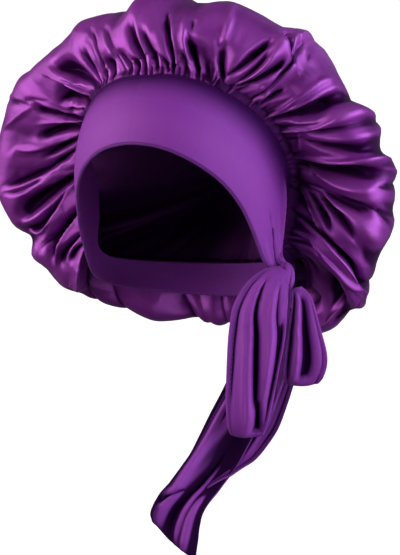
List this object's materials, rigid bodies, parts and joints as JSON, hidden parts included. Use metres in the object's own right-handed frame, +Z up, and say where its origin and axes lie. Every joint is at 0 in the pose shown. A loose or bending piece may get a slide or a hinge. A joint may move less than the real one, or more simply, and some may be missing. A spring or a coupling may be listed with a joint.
{
  "type": "satin sleep bonnet with tied band",
  "caption": "Full gathered satin crown on a wide smooth jersey band whose ends are knotted below one ear, with hanging loops and tails.",
  "frame": {"origin": "the middle of the wearer's head, inside the band, 10 mm below the band's lower edge at the forehead", "axes": "+Z up along the standing head, the wearer looks along -Y, +X is the wearer's left, the side of the knot"},
  "size_m": [0.3061, 0.2389, 0.3951],
  "materials": {
    "satin": "glossy satin weave",
    "jersey": "smooth stretch jersey with a soft sheen"
  },
  "bodies": {
    "root": {"crown": "satin", "band": "jersey", "knot": "jersey", "loop_front": "jersey", "loop_back": "jersey", "tail_long": "jersey", "tail_short": "jersey"}
  },
  "joints": []
}
